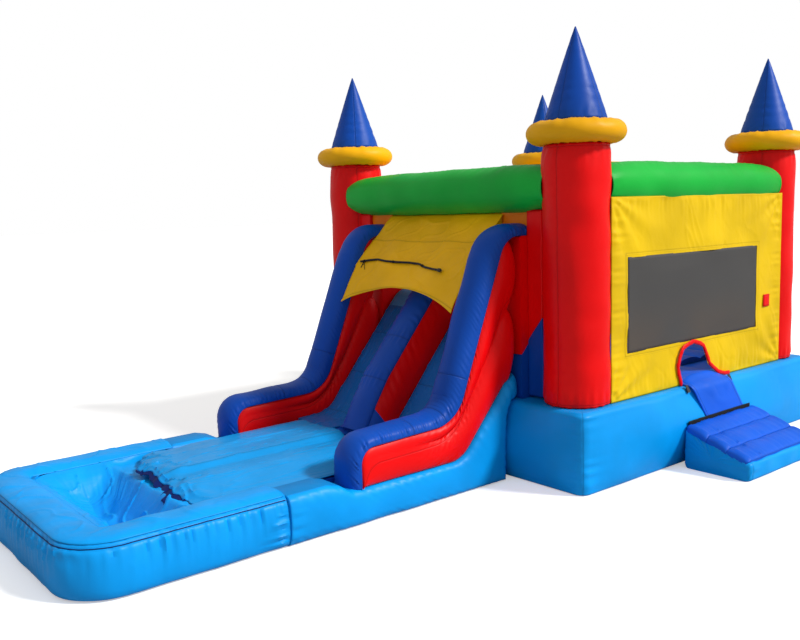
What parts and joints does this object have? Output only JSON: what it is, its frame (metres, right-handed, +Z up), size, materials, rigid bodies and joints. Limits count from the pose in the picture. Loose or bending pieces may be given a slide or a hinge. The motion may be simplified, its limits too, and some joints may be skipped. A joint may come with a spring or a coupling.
{
  "type": "bounce house with water slide",
  "caption": "Inflatable castle with corner towers, a mesh window, an arched doorway with a ramp, and a laned water slide that ends in a splash pool.",
  "frame": {"origin": "on the ground under the middle of the castle", "axes": "+Z up; -X from the castle down the slide to the pool; -Y towards the doorway's side"},
  "size_m": [9.0325, 4.8103, 4.0214],
  "materials": {
    "sky_vinyl": "satin coated fabric",
    "royal_vinyl": "satin coated fabric",
    "red_vinyl": "satin coated fabric",
    "green_vinyl": "satin coated fabric",
    "yellow_vinyl": "matt coated fabric",
    "gold_vinyl": "satin coated fabric",
    "pool_liner": "glossy sheet",
    "lane_liner": "glossy slick sheet",
    "dark_mesh": "woven mesh",
    "black_webbing": "woven tape",
    "black_plastic": "moulded",
    "blower_plastic": "moulded",
    "steel": "plain"
  },
  "bodies": {
    "inflatable": {"beam_back": "green_vinyl", "beam_entrance": "green_vinyl", "beam_garden": "green_vinyl", "beam_slide": "green_vinyl", "blower_housing": "blower_plastic", "blower_motor": "black_plastic", "blower_stand": "black_plastic", "buckle_body_left": "black_plastic", "buckle_body_right": "black_plastic", "castle_base": "sky_vinyl", "closing_panel_far": "red_vinyl", "closing_panel_near": "red_vinyl", "door_binding": "red_vinyl", "entrance_panel": "royal_vinyl", "exit_liner": "pool_liner", "hose_end_cap": "black_plastic", "inflation_sleeve": "sky_vinyl", "jumping_floor": "royal_vinyl", "lane_divider": "red_vinyl", "platform_block": "royal_vinyl", "pool_basin_liner": "pool_liner", "pool_wall": "sky_vinyl", "rail_band_far": "royal_vinyl", "rail_band_near": "royal_vinyl", "rail_body_far": "red_vinyl", "rail_body_near": "red_vinyl", "ramp_body": "sky_vinyl", "ramp_pad": "royal_vinyl", "ramp_tie_strip": "black_webbing", "roof_cover": "yellow_vinyl", "slide_bed": "royal_vinyl", "slide_canopy": "yellow_vinyl", "slide_flank_far": "sky_vinyl", "slide_flank_near": "sky_vinyl", "slide_lane_far": "lane_liner", "slide_lane_near": "lane_liner", "spray_hose": "black_plastic", "tower_column_far": "red_vinyl", "tower_column_left": "red_vinyl", "tower_column_near": "red_vinyl", "tower_column_right": "red_vinyl", "tower_cone_far": "royal_vinyl", "tower_cone_left": "royal_vinyl", "tower_cone_near": "royal_vinyl", "tower_cone_right": "royal_vinyl", "tower_ring_far": "gold_vinyl", "tower_ring_left": "gold_vinyl", "tower_ring_near": "gold_vinyl", "tower_ring_right": "gold_vinyl", "wall_back": "yellow_vinyl", "wall_entrance": "yellow_vinyl", "wall_garden": "yellow_vinyl", "wall_patch": "red_vinyl", "window_mesh_entrance": "dark_mesh", "zipper_tape": "black_webbing"},
    "impeller": {"blower_impeller": "black_plastic"},
    "rocker": {"blower_rocker": "black_plastic"},
    "tongue_left": {"buckle_tongue_left": "black_plastic"},
    "tongue_right": {"buckle_tongue_right": "black_plastic"},
    "zip_slider": {"zipper_slider": "steel"}
  },
  "joints": [
    {"name": "impeller_spin", "type": "hinge", "parent": "inflatable", "child": "impeller", "pos_m": [2.72, 0.62, 0.285], "axis": [0, 1, 0], "continuous": true},
    {"name": "power_rocker", "type": "hinge", "parent": "inflatable", "child": "rocker", "pos_m": [2.78, 0.746, 0.12], "axis": [1, 0, 0], "range_deg": [0, 24]},
    {"name": "left_buckle_pull", "type": "slide", "parent": "inflatable", "child": "tongue_left", "axis": [0, 0.38, 0.925], "range_m": [0, 0.045]},
    {"name": "right_buckle_pull", "type": "slide", "parent": "inflatable", "child": "tongue_right", "axis": [0, 0.38, 0.925], "range_m": [0, 0.045]},
    {"name": "zip_run", "type": "slide", "parent": "inflatable", "child": "zip_slider", "axis": [0, 1, 0], "range_m": [0, 0.42]}
  ]
}
